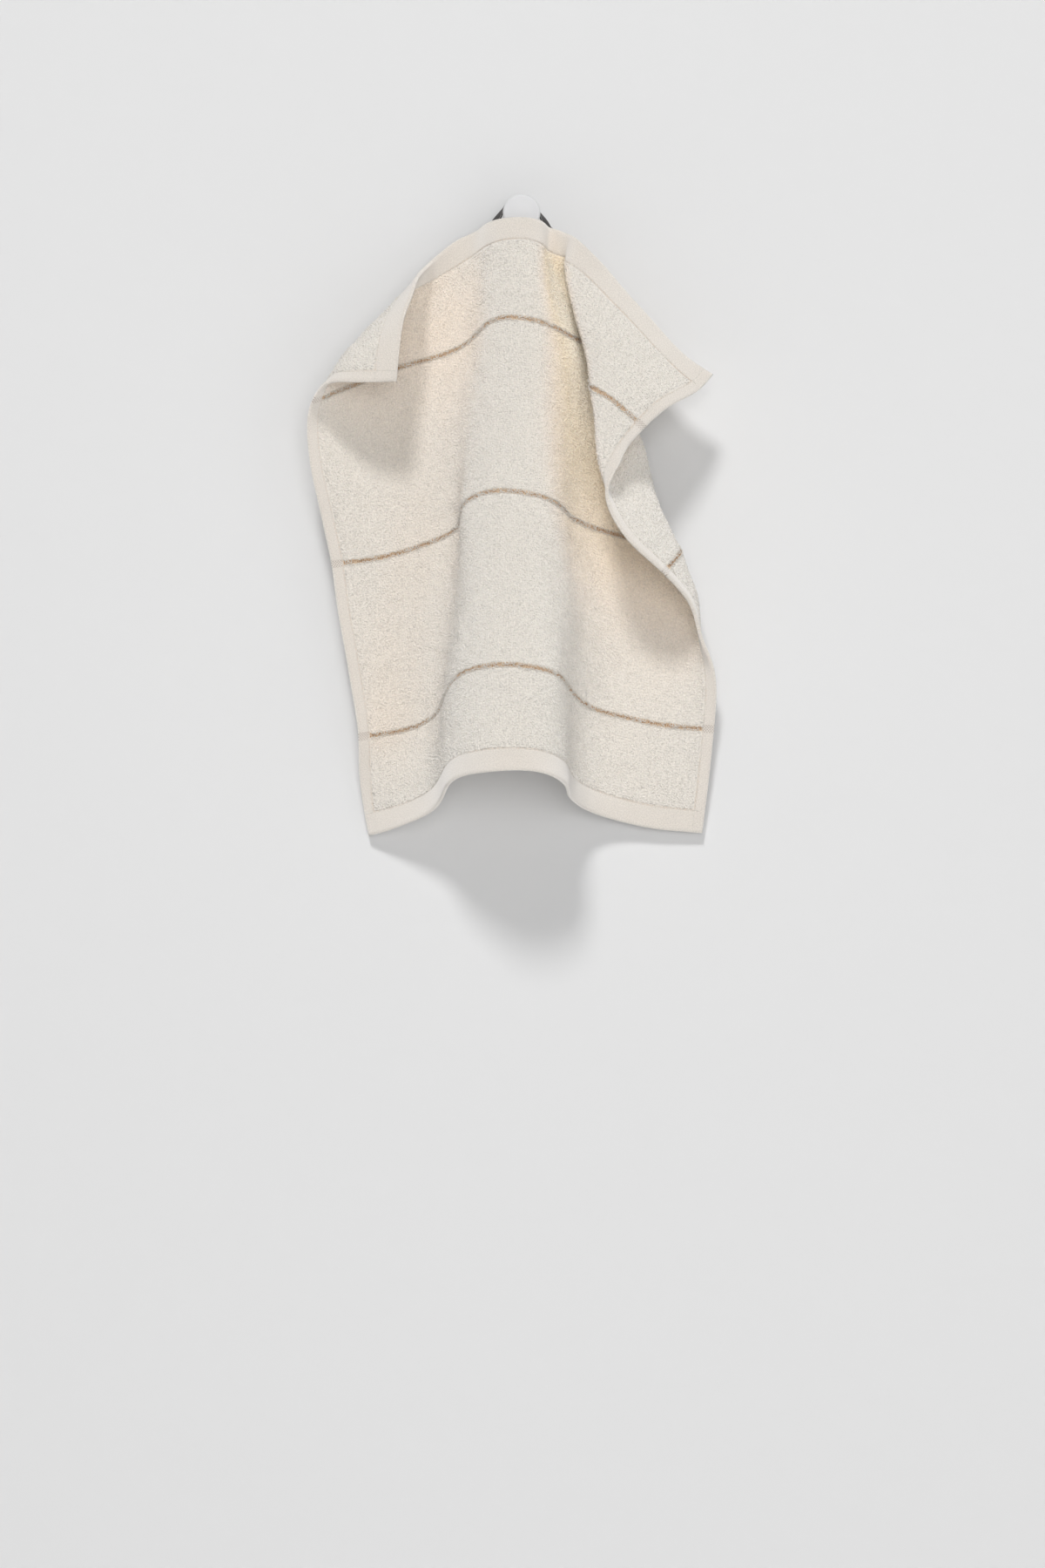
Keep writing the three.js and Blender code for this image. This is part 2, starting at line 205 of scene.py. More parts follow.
def settle(net, points, rounds):
    cells = len(net) - 1
    step, pulls = side / cells, pullsOf(points, cells)
    slant, shear = step * math.sqrt(2), drape["shear"]
    for _ in range(rounds):
        for _ in range(drape["smoothingPasses"]):
            evenOut(net)
        for patch, strength, corners, share, hung in pulls:
            net[patch] += strength * (hung - (net[corners] * share).sum((0, 1)))
        for _ in range(drape["lengthPasses"]):
            for phase in (0, 1):
                keepLength(net[phase:-1:2], net[phase + 1::2], step, 1)
                keepLength(net[:, phase:-1:2], net[:, phase + 1::2], step, 1)
            for phase in (0, 1):
                keepLength(net[phase:-1:2, :-1], net[phase + 1::2, 1:], slant, shear)
                keepLength(net[phase:-1:2, 1:], net[phase + 1::2, :-1], slant, shear)
        net[..., 1] = np.maximum(net[..., 1], drape["nearestToWall"])


def halveCells(net):                # new knots lie on a cubic through the four nearest old ones
    for _ in range(2):
        longer = np.concatenate([2 * net[:1] - net[1:2], net, 2 * net[-1:] - net[-2:-1]])
        finer = np.empty((2 * len(net) - 1, *net.shape[1:]))
        finer[::2] = net
        finer[1::2] = (9 * (longer[1:-2] + longer[2:-1]) - longer[:-3] - longer[3:]) / 16
        net = np.swapaxes(finer, 0, 1)
    return np.ascontiguousarray(net)


def hangCloth():
    points = np.array([point for fold in folds.values() for point in fold], float)
    net = thinPlate(points, drape["coarseCells"])
    settle(net, points, drape["coarseRounds"])
    net = halveCells(net)
    settle(net, points, drape["fineRounds"])
    net = halveCells(halveCells(net))
    net[..., 1] *= -1               # out from the wall is towards -Y
    return net


# Ways to read the hung cloth at any place on the flat one

def fade(value, start, end):
    part = np.clip((value - start) / (end - start), 0, 1)
    return part * part * (3 - 2 * part)


def unit(vectors):
    return vectors / np.maximum(np.linalg.norm(vectors, axis=-1, keepdims=True), 1e-12)


def readTable(table, a, b):         # between the nearest four entries
    a, b = np.clip(a, 0, len(table) - 1.001), np.clip(b, 0, len(table[0]) - 1.001)
    i, j = a.astype(int), b.astype(int)
    p, q = (a - i)[..., None], (b - j)[..., None]
    top = (1 - p) * table[i, j] + p * table[i + 1, j]
    return (1 - q) * top + q * ((1 - p) * table[i, j + 1] + p * table[i + 1, j + 1])


def noise(across, down, size, seed):                # smooth, from -1 to 1, in lumps of this size
    count = int(side / size) + 6
    table = np.random.default_rng(seed).uniform(-1, 1, (count, count, 1))
    a, b = across / size + 2, down / size + 2
    i, j = np.floor(a), np.floor(b)
    return readTable(table, i + fade(a - i, 0, 1), j + fade(b - j, 0, 1))[..., 0]


def acrossAndDown(net):             # directions along the cloth
    return unit(np.gradient(net, axis=0)), unit(np.gradient(net, axis=1))


def frontOf(net):
    acrossWay, downWay = acrossAndDown(net)
    return unit(np.cross(downWay, acrossWay))


def pastHem(across, down):          # how far inside the hems a place is
    fromSides = np.minimum(across, side - across) - cloth["sideHem"]
    fromEnds = np.minimum(down, side - down) - cloth["endHem"]
    return np.minimum(fromSides, fromEnds)


def fromStripe(down):
    return np.min([np.abs(down - stripe) for stripe in cloth["stripesDown"]], axis=0)


def halfThickness(across, down, way=1):
    seedShift = 0 if way > 0 else cloth["backSeeds"]
    past = pastHem(across, down)
    terry = fade(past, 0, cloth["hemFade"])
    half = cloth["hemHalf"] + (cloth["groundHalf"] - cloth["hemHalf"]) * terry
    half = half - cloth["stripeDip"] * (1 - fade(fromStripe(down), *cloth["stripeDipEdge"]))
    half = half - cloth["seamDip"] * np.exp(-(past / cloth["seamHalf"]) ** 2)
    for size, height, seed in cloth["lumps"]:
        half = half + height * terry * noise(across, down, size, seed + seedShift)
    return half


hung = hangCloth()
flatLine = np.linspace(0, side, len(hung))
flatAcross, flatDown = np.meshgrid(flatLine, flatLine, indexing="ij")
for lumpSize, lumpHeight, lumpSeed in cloth["unevenness"]:
    lumps = noise(flatAcross, flatDown, lumpSize, lumpSeed)
    hung = hung + frontOf(hung) * lumpHeight * lumps[..., None]
hungFront, (hungAcross, hungDown) = frontOf(hung), acrossAndDown(hung)
print("cloth hung")


def onCloth(table, across, down):
    scale = (len(table) - 1) / side
    return readTable(table, np.asarray(across) * scale, np.asarray(down) * scale)


# Light that goes from fold to fold turns warm, and that warm bounced light is painted into the terry's
# colour by how closed in a place is

closeness = {
    "everyKnot": 4,
    "rays": 64,
    "reach": 150,
    "fade": 60,                     # cloth this far off counts a third
    "clear": 2.5,                   # how far off the cloth each look starts
}
goldenTurn = math.pi * (3 - math.sqrt(5))


def closedIn(way):                  # share of each place's view that close cloth takes, from 0 to 1
    corners = hung.reshape(-1, 3).tolist()
    ids = np.arange(len(corners)).reshape(len(hung), -1)[::2, ::2]
    quads = np.stack([ids[:-1, :-1], ids[:-1, 1:], ids[1:, 1:], ids[1:, :-1]], -1).reshape(-1, 4)
    tree = BVHTree.FromPolygons(corners, quads.tolist())
    spaced = (slice(None, None, closeness["everyKnot"]),) * 2
    out, along = hungFront[spaced] * way, hungAcross[spaced]
    beside = np.cross(out, along)
    eyes = hung[spaced] + out * closeness["clear"]
    closed = np.zeros((*out.shape[:2], 1))
    for k in range(closeness["rays"]):
        slant, turn = math.sqrt((k + 0.5) / closeness["rays"]), k * goldenTurn
        sidelong = math.cos(turn) * along + math.sin(turn) * beside
        looks = slant * sidelong + math.sqrt(1 - slant ** 2) * out
        for i, j in np.ndindex(closed.shape[:2]):
            distance = tree.ray_cast(Vector(eyes[i, j]), Vector(looks[i, j]), closeness["reach"])[3]
            if distance is not None:
                closed[i, j] += math.exp(-distance / closeness["fade"]) / closeness["rays"]
    return closed


closedInTable = {way: closedIn(way) for way in (1, -1)}
print("closeness of the folds measured")


def closedInAt(way, across, down):
    return onCloth(closedInTable[way], across, down)[..., 0]


# Meshes

def addMesh(name, points, faces, uvMaps=None, closed=None):
    places = (np.asarray(points) * metre).tolist()
    mesh = bpy.data.meshes.new(name)
    mesh.from_pydata(places, [], faces if isinstance(faces, list) else faces.tolist())
    mesh.shade_smooth()
    for mapName, corners in (uvMaps or {}).items():
        uvMap = mesh.uv_layers.new(name=mapName)
        uvMap.data.foreach_set("uv", np.asarray(corners, np.float32).ravel())
    if closed is not None:
        shares = mesh.attributes.new("closedIn", "FLOAT", "POINT")
        shares.data.foreach_set("value", np.asarray(closed, np.float32))
    piece = bpy.data.objects.new(name, mesh)
    bpy.context.collection.objects.link(piece)
    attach(piece, "root")
    return piece


def stationsAlong(edges, cell):     # lines of the mesh, with one on every edge
    spans = [
        np.linspace(a, b, max(1, round((b - a) / cell)) + 1)[:-1]
        for a, b in zip(edges[:-1], edges[1:])]
    return np.concatenate([*spans, edges[-1:]])


def cubicWeights(places):           # rows that read the hung net at these places, smoothly
    knots = len(hung)
    at = np.clip(np.asarray(places) * (knots - 1) / side, 0, knots - 1 - 1e-9)
    first = at.astype(int)
    p = at - first
    shares = (
        (-p + 2 * p ** 2 - p ** 3) / 2, (2 - 5 * p ** 2 + 3 * p ** 3) / 2,
        (p + 4 * p ** 2 - 3 * p ** 3) / 2, (-p ** 2 + p ** 3) / 2)
    weights = np.zeros((len(at), knots))
    for offset, share in zip((-1, 0, 1, 2), shares):
        np.add.at(weights, (np.arange(len(at)), np.clip(first + offset, 0, knots - 1)), share)
    return weights


# Two UV maps: the flat cloth, for the weave, and one with the front and the back side by side
def flatMaps(flat, faces, backs):
    corners = flat[faces.ravel()] / side
    shift = np.repeat(backs, faces.shape[1])[:, None] * (0.5, 0)
    apart = (corners * (1, -1) + (0, 1)) * (0.48, 0.98) + (0.01, 0.01) + shift
    return {"OFBake": apart, "flat": corners}


def makeCloth():
    ends, sides, fadeOut = cloth["endHem"], cloth["sideHem"], cloth["hemFade"]
    seam = cloth["seamLine"]
    acrossEdges = [0, sides - seam, sides, sides + seam, sides + fadeOut]
    downEdges = [0, ends - seam, ends, ends + seam, ends + fadeOut]
    for stripe in cloth["stripesDown"]:
        downEdges += [stripe + line for line in cloth["stripeLines"]]
    acrossEdges += [side - edge for edge in reversed(acrossEdges)]
    downEdges += [side - edge for edge in reversed(downEdges[:5])]
    acrossLine, downLine = (stationsAlong(edges, cloth["cell"]) for edges in (acrossEdges, downEdges))
    middle = np.einsum("ai,ijk,bj->abk", cubicWeights(acrossLine), hung, cubicWeights(downLine))
    acrossWay, downWay = acrossAndDown(middle)
    front = unit(np.cross(downWay, acrossWay))
    across, down = np.meshgrid(acrossLine, downLine, indexing="ij")
    layers = [
        (middle + way * front * halfThickness(across, down, way)[..., None]).reshape(-1, 3)
        for way in (1, -1)]
    columns, rows = across.shape
    ids = np.arange(across.size).reshape(columns, rows)
    a, b, c, d = ids[:-1, :-1], ids[:-1, 1:], ids[1:, 1:], ids[1:, :-1]
    frontFaces = np.stack([a, b, c, d], -1).reshape(-1, 4)
    backFaces = np.stack([a, d, c, b], -1).reshape(-1, 4) + across.size
    rim = np.concatenate([ids[:-1, 0], ids[-1, :-1], ids[:0:-1, -1], ids[0, :0:-1]])
    outward = np.zeros((columns, rows, 2))
    outward[0, :, 0], outward[-1, :, 0], outward[:, 0, 1], outward[:, -1, 1] = -1, 1, -1, 1
    outward = outward.reshape(-1, 2)[rim] * cloth["edgeRound"]
    ways = outward[:, :1] * acrossWay.reshape(-1, 3)[rim] + outward[:, 1:] * downWay.reshape(-1, 3)[rim]
    points = np.concatenate([*layers, middle.reshape(-1, 3)[rim] + ways])
    flat = np.stack([across, down], -1).reshape(-1, 2)
    flat = np.concatenate([flat, flat, flat[rim] + outward])
    edge = 2 * across.size + np.arange(len(rim))
    nextRim, nextEdge = np.roll(rim, -1), np.roll(edge, -1)
    frontRim = np.stack([rim, nextRim, nextEdge, edge], -1)
    backRim = np.stack([edge, nextEdge, nextRim + across.size, rim + across.size], -1)
    faces = np.concatenate([frontFaces, frontRim, backFaces, backRim])
    backs = np.repeat([0, 1], [len(frontFaces) + len(rim), len(backFaces) + len(rim)])
    closed = [closedInAt(way, across, down).ravel() for way in (1, -1)]
    closed = np.concatenate([*closed, (closed[0][rim] + closed[1][rim]) / 2])
    return addMesh("washcloth", points, faces, flatMaps(flat, faces, backs), closed)


# Tufts and yarns: many alike, one at each flat place

def addTufts(name, way, across, down, points, faces):
    each = len(points) // len(across)
    flat = np.repeat(np.stack([across, down], -1), each, axis=0)
    maps = flatMaps(flat, faces, np.full(len(faces), int(way < 0)))
    return addMesh(name, points, faces, maps, np.repeat(closedInAt(way, across, down), each))


def turned(angles, start, end):     # from the start direction towards the end one by these angles
    return np.cos(angles)[:, None] * start + np.sin(angles)[:, None] * end


def faceBasis(across, down, way):   # out of the face, then two directions along it
    out = unit(onCloth(hungFront, across, down)) * way
    along = unit(onCloth(hungAcross, across, down))
    return out, along, np.cross(out, along)


# Pile: short tufts that stand on both faces, leaning this way and that

pile = {
    "pitch": 1.28,
    "radius": (0.78, 0.95),
    "height": (0.36, 0.8),
    "sunk": 0.12,                   # how deep a tuft stands in the ground
    "jitter": 0.36,                 # share of the pitch
    "lean": 0.4,
    "hang": 0.12,                   # how far the tufts droop down the cloth
    "hemBorder": 0.4,
    "stripeBorder": 1.55,
    "wanderSize": 2.6,              # both borders wander in and out by these
    "hemWander": 0.35,
    "stripeWander": 0.45,
}


def pileSpots(seed):                # flat places of the tufts, past the hems and beside the stripes
    line = np.arange(pile["pitch"] / 2, side, pile["pitch"])
    across, down = (grid.ravel() for grid in np.meshgrid(line, line, indexing="ij"))
    draw = np.random.default_rng(seed)
    across = across + pile["jitter"] * pile["pitch"] * draw.uniform(-1, 1, len(across))
    down = down + pile["jitter"] * pile["pitch"] * draw.uniform(-1, 1, len(down))
    wander = noise(across, down, pile["wanderSize"], seed + 1)
    keep = pastHem(across, down) > pile["hemBorder"] + pile["hemWander"] * wander
    keep &= fromStripe(down) > pile["stripeBorder"] + pile["stripeWander"] * wander
    return across[keep], down[keep], draw


def makePile(name, way, seed):
    across, down, draw = pileSpots(seed)
    out, along, beside = faceBasis(across, down, way)
    half = halfThickness(across, down, way)
    foot = onCloth(hung, across, down) + out * (half - pile["sunk"])[:, None]
    count = len(across)
    turn = draw.uniform(0, 2 * math.pi, count)
    radius = draw.uniform(*pile["radius"], count)
    height = draw.uniform(*pile["height"], count) + pile["sunk"]
    leanTurn = draw.uniform(0, 2 * math.pi, count)
    droop = unit(onCloth(hungDown, across, down)) * pile["hang"]
    lean = pile["lean"] * turned(leanTurn, along, beside) + droop
    corners = [
        foot + radius[:, None] * turned(angle, along, beside)
        for angle in (turn, turn + 2 * math.pi / 3, turn + 4 * math.pi / 3)]
    points = np.stack([*corners, foot + out * height[:, None] + lean], 1).reshape(-1, 3)
    shape = np.array([(0, 1, 3), (1, 2, 3), (2, 0, 3), (0, 2, 1)])
    faces = (4 * np.arange(count)[:, None, None] + shape).reshape(-1, 3)
    return addTufts(name, way, across, down, points, faces)


# Yarn: thin closed strands along many short paths at once

def wallFaces(length, around):      # between one ring of points and the next
    step, turn = np.meshgrid(np.arange(length - 1), np.arange(around), indexing="ij")
    nextTurn = (turn + 1) % around
    faces = np.stack([turn, turn + around, nextTurn + around, nextTurn], -1) + around * step[..., None]
    return faces.reshape(-1, 4)


def strands(paths, sideways, radius, corners=4):
    count, length = paths.shape[:2]
    along = unit(np.gradient(paths, axis=1))
    sideways = np.repeat(sideways[:, None], length, 1)
    other = unit(np.cross(sideways, along))
    angles = 2 * math.pi * np.arange(corners) / corners
    ring = turned(angles, sideways[:, :, None], other[:, :, None])
    points = (paths[:, :, None] + radius * ring).reshape(-1, 3)
    start = corners * length * np.arange(count)[:, None, None]
    walls = (start + wallFaces(length, corners)).reshape(-1, 4)
    cap = np.arange(corners)
    first = start[:, 0] + cap[None, :]
    last = start[:, 0] + corners * (length - 1) + cap[None, ::-1]
    return points, np.concatenate([walls, first, last])


# Brown yarns that float over each stripe, side by side

ribYarn = {
    "pitch": 1.1,
    "radius": 0.3,
    "half": 1.1,                    # half a rib's length
    "share": (0.65, 1.2),           # of that length
    "height": 0.5,
    "sunk": 0.3,
    "jitter": 0.14,                 # along the stripe
    "shift": 0.35,                  # over the stripe
    "slant": 0.22,
    "fromHem": 0.7,
    "points": 6,
}


def alongStripe(yarn):              # one place for each yarn, from hem to hem
    start = cloth["sideHem"] + yarn["fromHem"]
    return np.arange(start, side - start, yarn["pitch"])


def makeStripeRibs(name, way, seed):
    draw, places = np.random.default_rng(seed), alongStripe(ribYarn)
    across = np.tile(places, len(cloth["stripesDown"]))
    down = np.repeat(cloth["stripesDown"], len(places)).astype(float)
    across = across + ribYarn["jitter"] * draw.uniform(-1, 1, len(across))
    run = np.linspace(-1, 1, ribYarn["points"])
    each = (len(across), 1)
    half = ribYarn["half"] * draw.uniform(*ribYarn["share"], each)
    slant = draw.uniform(-ribYarn["slant"], ribYarn["slant"], each)
    downs = down[:, None] + half * run + draw.uniform(-ribYarn["shift"], ribYarn["shift"], each)
    acrosses = across[:, None] + slant * run
    out = unit(onCloth(hungFront, acrosses, downs)) * way
    lift = ribYarn["height"] * (1 - run ** 2) - ribYarn["sunk"]
    lift = lift + halfThickness(acrosses, downs, way)
    paths = onCloth(hung, acrosses, downs) + out * lift[..., None]
    sideways = unit(np.cross(out[:, 2], paths[:, -1] - paths[:, 0]))
    return addTufts(name, way, across, down, *strands(paths, sideways, ribYarn["radius"]))


# White loops that stand along both edges of a stripe

loopYarn = {
    "pitch": 1.15,
    "radius": 0.2,
    "height": (0.6, 1.2),
    "sunk": 0.15,
    "foot": 0.5,                    # half the distance between a loop's two feet
    "bulge": 0.35,                  # how much wider a loop is above its feet
    "lean": (0.1, 1.3),             # over the stripe
    "turn": 0.7,
    "stray": 0.5,                   # along the stripe
    "offEdge": (-0.2, 0.4),
    "fromHem": 1.2,
    "ringShare": (0.22, 0.35),      # of loops that lie over the stripe as rings, and how much it varies
    "ringClusters": 9,
    "ringHeight": 0.55,
    "ringLean": 1.75,
    "ringFoot": 0.72,
    "ringTurn": 0.4,                # share of the other loops' turn
    "points": 8,
}


def makeStripeLoops(name, way, seed):
    draw, places = np.random.default_rng(seed), alongStripe(loopYarn)
    across, down, over = [], [], []
    for stripe in cloth["stripesDown"]:
        for edge in (-1, 1):
            across.append(places + draw.uniform(-loopYarn["stray"], loopYarn["stray"], len(places)))
            offEdge = draw.uniform(*loopYarn["offEdge"], len(places))
            down.append(stripe + edge * (cloth["stripeHalf"] + offEdge))
            over.append(np.full(len(places), -edge))
    across, down, over = (np.concatenate(values) for values in (across, down, over))
    usual, spread = loopYarn["ringShare"]
    chance = usual + spread * noise(across, down, loopYarn["ringClusters"], seed + 5)
    ring = (draw.uniform(0, 1, len(across)) < chance) & (over > 0)
    out, acrossWay, _ = faceBasis(across, down, way)
    downWay = unit(onCloth(hungDown, across, down))
    half = halfThickness(across, down, way)
    foot = onCloth(hung, across, down) + out * (half - loopYarn["sunk"])[:, None]
    turn = draw.uniform(-loopYarn["turn"], loopYarn["turn"], len(across))
    turn = turn * np.where(ring, loopYarn["ringTurn"], 1)
    wide = turned(turn, acrossWay, downWay)
    tall = np.where(ring, loopYarn["ringHeight"], draw.uniform(*loopYarn["height"], len(across)))
    lean = np.where(ring, loopYarn["ringLean"], draw.uniform(*loopYarn["lean"], len(across))) * over
    rise = out * tall[:, None] + lean[:, None] * downWay
    feet = np.where(ring, loopYarn["ringFoot"], loopYarn["foot"])
    bend = np.linspace(0, math.pi, loopYarn["points"])
    spread = np.cos(bend) + loopYarn["bulge"] * np.sin(2 * bend)
    paths = foot[:, None] + (feet[:, None] * spread)[..., None] * wide[:, None]
    paths = paths + np.sin(bend)[None, :, None] * rise[:, None]
    sideways = unit(np.cross(wide, rise))
    return addTufts(name, way, across, down, *strands(paths, sideways, loopYarn["radius"]))


# Stitches: one row along the inner edge of every hem, on both faces

stitching = {
    "pitch": 2.7,
    "length": 2.0,
    "radius": 0.2,
    "inset": 0.55,                  # from the hem's inner edge
    "fromEnd": 0.8,
    "sunk": 0.12,
    "rise": 0.3,
    "points": 5,
}


def makeStitches(name):
    length, inset, first = stitching["length"], stitching["inset"], stitching["fromEnd"]
    starts = np.arange(first, side - first - length, stitching["pitch"])
    run = starts[:, None] + np.linspace(0, length, stitching["points"])[None]
    rows = []
    for hem, runsDown in ((cloth["sideHem"], True), (cloth["endHem"], False)):
        for place in (hem - inset, side - hem + inset):
            still = np.full_like(run, place)
            rows.append((still, run) if runsDown else (run, still))
    across, down = (np.concatenate(values) for values in zip(*rows))
    lift = np.sin(np.linspace(0, math.pi, stitching["points"]))
    meshes = []
    for way in (1, -1):
        out = unit(onCloth(hungFront, across, down)) * way
        half = halfThickness(across, down)[..., None]
        above = half - stitching["sunk"] + stitching["rise"] * lift[None, :, None]
        paths = onCloth(hung, across, down) + out * above
        sideways = unit(np.cross(out[:, 2], paths[:, -1] - paths[:, 0]))
        meshes.append(strands(paths, sideways, stitching["radius"]))
    (frontPoints, frontFaces), (backPoints, backFaces) = meshes
    faces = np.concatenate([frontFaces, backFaces + len(frontPoints)])
    return addMesh(name, np.concatenate([frontPoints, backPoints]), faces)


# Tape: over the stem edge-on, past the head, and flat behind the top hem

tape = {
    "width": 9.5,
    "thickness": 0.9,
    "out": 18,                      # from the wall to its middle line over the stem
    "offStem": 0.35,
    "overStem": (                   # degrees, and how far off the stem besides
        (-48, 1.8), (-30, 0.7), (-12, 0.1), (6, 0), (24, 0), (42, 0), (57, 0.5)),
    "leftLeg": (-14, 19.3, -3, 32),                 # x, out, z, and the degrees its width is turned
    "rightLeg": (13, 18.4, -4.6, 30),
    "sewnGap": 0.25,
    "sewnAcross": 25,               # from the cloth's middle
    "sewnDown": (11, 6, 1),
    "stepsPerKey": 8,
    "sectionPoints": 15,            # over each face
    "squareness": 12,               # the power that rounds its selvedges
    "crown": 0.12,                  # share of its thickness lost towards them
    "mapSize": 100,                 # millimetres across its UV map
}
pegSizes = {
    "stemRadius": 7.5,
    "stemLength": 24,
    "headRadius": 10,
    "headThickness": 4,
    "frontEdge": 1.1,
    "rearEdge": 0.6,
    "wallEdge": 0.3,
    "neck": ((0, 0.6), (0.2, 0.15), (0.7, 0)),                      # off the stem, and behind the head
    "dish": ((0.83, 0), (0.79, 0.12), (0.5, 0.16), (0, 0.18)),      # share of the head's radius, depth
    "sides": 96,
}


def sewnKeys(way):                  # places behind the hem, and the way the tape's width points there
    behind = cloth["hemHalf"] + tape["sewnGap"] + tape["thickness"] / 2
    acrosses = side / 2 + way * (tape["sewnAcross"] + tape["width"] / 2 * np.array((-1, 0, 1)))
    keys = []
    for down in tape["sewnDown"]:
        inner, middle, outer = (
            onCloth(hung, across, down) - behind * unit(onCloth(hungFront, across, down))
            for across in acrosses)
        keys.append((middle, unit(outer - inner)))
    return keys


def legKey(x, out, z, degrees, way):
    turn = math.radians(degrees)
    return np.array((x, -out, z)), np.array((way * math.sin(turn), math.cos(turn), 0))


def tapeKeys():
    onStem = pegSizes["stemRadius"] + tape["offStem"] + tape["thickness"] / 2
    arch = []
    for degrees, lift in tape["overStem"]:
        turn, radius = math.radians(degrees), onStem + lift
        place = (radius * math.sin(turn), -tape["out"], radius * math.cos(turn))
        arch.append((np.array(place), np.array((0, 1, 0))))
    left, right = legKey(*tape["leftLeg"], -1), legKey(*tape["rightLeg"], 1)
    return [*sewnKeys(-1), left, *arch, right, *reversed(sewnKeys(1))]


def throughKeys(places, steps):     # a smooth curve that doesn't overshoot where the keys lie close
    places = np.array([2 * places[0] - places[1], *places, 2 * places[-1] - places[-2]])
    gaps = np.sqrt(np.linalg.norm(np.diff(places, axis=0), axis=1))
    curve = []
    for k in range(1, len(places) - 2):
        p0, p1, p2, p3 = places[k - 1:k + 3]
        g0, g1, g2 = gaps[k - 1:k + 2]
        t1 = g1 * ((p1 - p0) / g0 - (p2 - p0) / (g0 + g1) + (p2 - p1) / g1)
        t2 = g1 * ((p2 - p1) / g1 - (p3 - p1) / (g1 + g2) + (p3 - p2) / g2)
        for t in np.arange(steps) / steps:
            bow = (2 * p1 - 2 * p2 + t1 + t2) * t ** 3 + (3 * p2 - 3 * p1 - 2 * t1 - t2) * t ** 2
            curve.append(bow + t1 * t + p1)
    return np.array([*curve, places[-2]])


def tapeSection():                  # thin at both selvedges and a little full in the middle
    half, edge = tape["width"] / 2, tape["thickness"] / 2
    across = np.linspace(-1, 1, tape["sectionPoints"])
    full = edge * np.sqrt(np.clip(1 - np.abs(across) ** tape["squareness"], 0, 1))
    full = full * (1 - tape["crown"] * across ** 2)
    front = [(half * a, f) for a, f in zip(across, full)]
    back = [(half * a, -f) for a, f in zip(across[-2:0:-1], full[-2:0:-1])]
    return np.array(front + back)


def tapeEnds(around, length):       # each end is closed by a row of faces from one side to the other
    last = tape["sectionPoints"] - 2
    faces = []
    for base, flip in ((0, False), (around * (length - 1), True)):
        for m in range(last + 1):
            low, high = (around - m) % around, around - m - 1
            quad = [m, low, high, m + 1] if m else [0, high, m + 1]
            if m == last:
                quad = [m, low, m + 1]
            faces.append([base + q for q in (reversed(quad) if flip else quad)])
    return faces


def makeTape():
    keys = tapeKeys()
    steps = tape["stepsPerKey"]
    path = throughKeys([place for place, _ in keys], steps)
    along = unit(np.gradient(path, axis=0))
    at = np.arange(len(path)) / steps
    first = np.minimum(at.astype(int), len(keys) - 2)
    share = fade(at - first, 0, 1)[:, None]
    ways = np.array([way for _, way in keys])
    wide = ways[first] * (1 - share) + ways[first + 1] * share
    wide = unit(wide - (wide * along).sum(1, keepdims=True) * along)
    thick = np.cross(along, wide)
    section = tapeSection()
    rings = path[:, None] + section[None, :, :1] * wide[:, None] + section[None, :, 1:] * thick[:, None]
    around, length = len(section), len(path)
    walls = wallFaces(length, around)[:, [0, 3, 2, 1]]
    faces = [*walls.tolist(), *tapeEnds(around, length)]
    run = np.concatenate([[0], np.cumsum(np.linalg.norm(np.diff(path, axis=0), axis=1))])
    flat = np.stack([
        np.broadcast_to(section[None, :, 0] + tape["width"] / 2, (length, around)),
        np.broadcast_to(run[:, None], (length, around))], -1).reshape(-1, 2)
    corners = np.array([flat[v] for face in faces for v in face]) / tape["mapSize"]
    return addMesh("hangingLoop", rings.reshape(-1, 3), faces, {"flat": corners})


# Peg: turned in one piece, with a flat back on the wall and eased edges on its head

def roundEdge(across, out, radius, degrees):
    turns = [math.radians(turn) for turn in degrees]
    return [(across + radius * math.cos(turn), out + radius * math.sin(turn)) for turn in turns]


def makePeg():
    stem, length, radius = (pegSizes[name] for name in ("stemRadius", "stemLength", "headRadius"))
    wall, rear, edge = (pegSizes[name] for name in ("wallEdge", "rearEdge", "frontEdge"))
    front, sides = length + pegSizes["headThickness"], pegSizes["sides"]
    profile = [(0, 0), (stem - wall, 0), (stem, wall)]
    profile += [(stem + offStem, length - behind) for offStem, behind in pegSizes["neck"]]
    profile += [(radius - rear, length)]
    profile += roundEdge(radius - rear, length + rear, rear, range(-75, 1, 25))
    profile += roundEdge(radius - edge, front - edge, edge, range(0, 91, 15))
    profile += [(radius * share, front - depth) for share, depth in pegSizes["dish"]]
    inner = np.array(profile[1:-1])
    turns = 2 * math.pi * np.arange(sides) / sides
    rings = np.stack([
        inner[:, :1] * np.cos(turns), -inner[:, 1:] * np.ones(sides), inner[:, :1] * np.sin(turns)], -1)
    points = np.concatenate([rings.reshape(-1, 3), [(0, 0, 0), (0, -profile[-1][1], 0)]])
    faces, back = wallFaces(len(inner), sides).tolist(), len(inner) * sides
    for m in range(sides):
        n = (m + 1) % sides
        faces += [[m, n, back], [back - sides + n, back - sides + m, back + 1]]
    return addMesh("wallPeg", points, faces)


washcloth = makeCloth()
pileFront = makePile("pileFront", 1, 31)
pileBack = makePile("pileBack", -1, 41)
ribsFront = makeStripeRibs("stripeRibsFront", 1, 71)
ribsBack = makeStripeRibs("stripeRibsBack", -1, 81)
loopsFront = makeStripeLoops("stripeLoopsFront", 1, 51)
loopsBack = makeStripeLoops("stripeLoopsBack", -1, 61)
stitches = makeStitches("hemStitches")
hangingLoop = makeTape()
wallPeg = makePeg()
print("pieces made")


# Materials

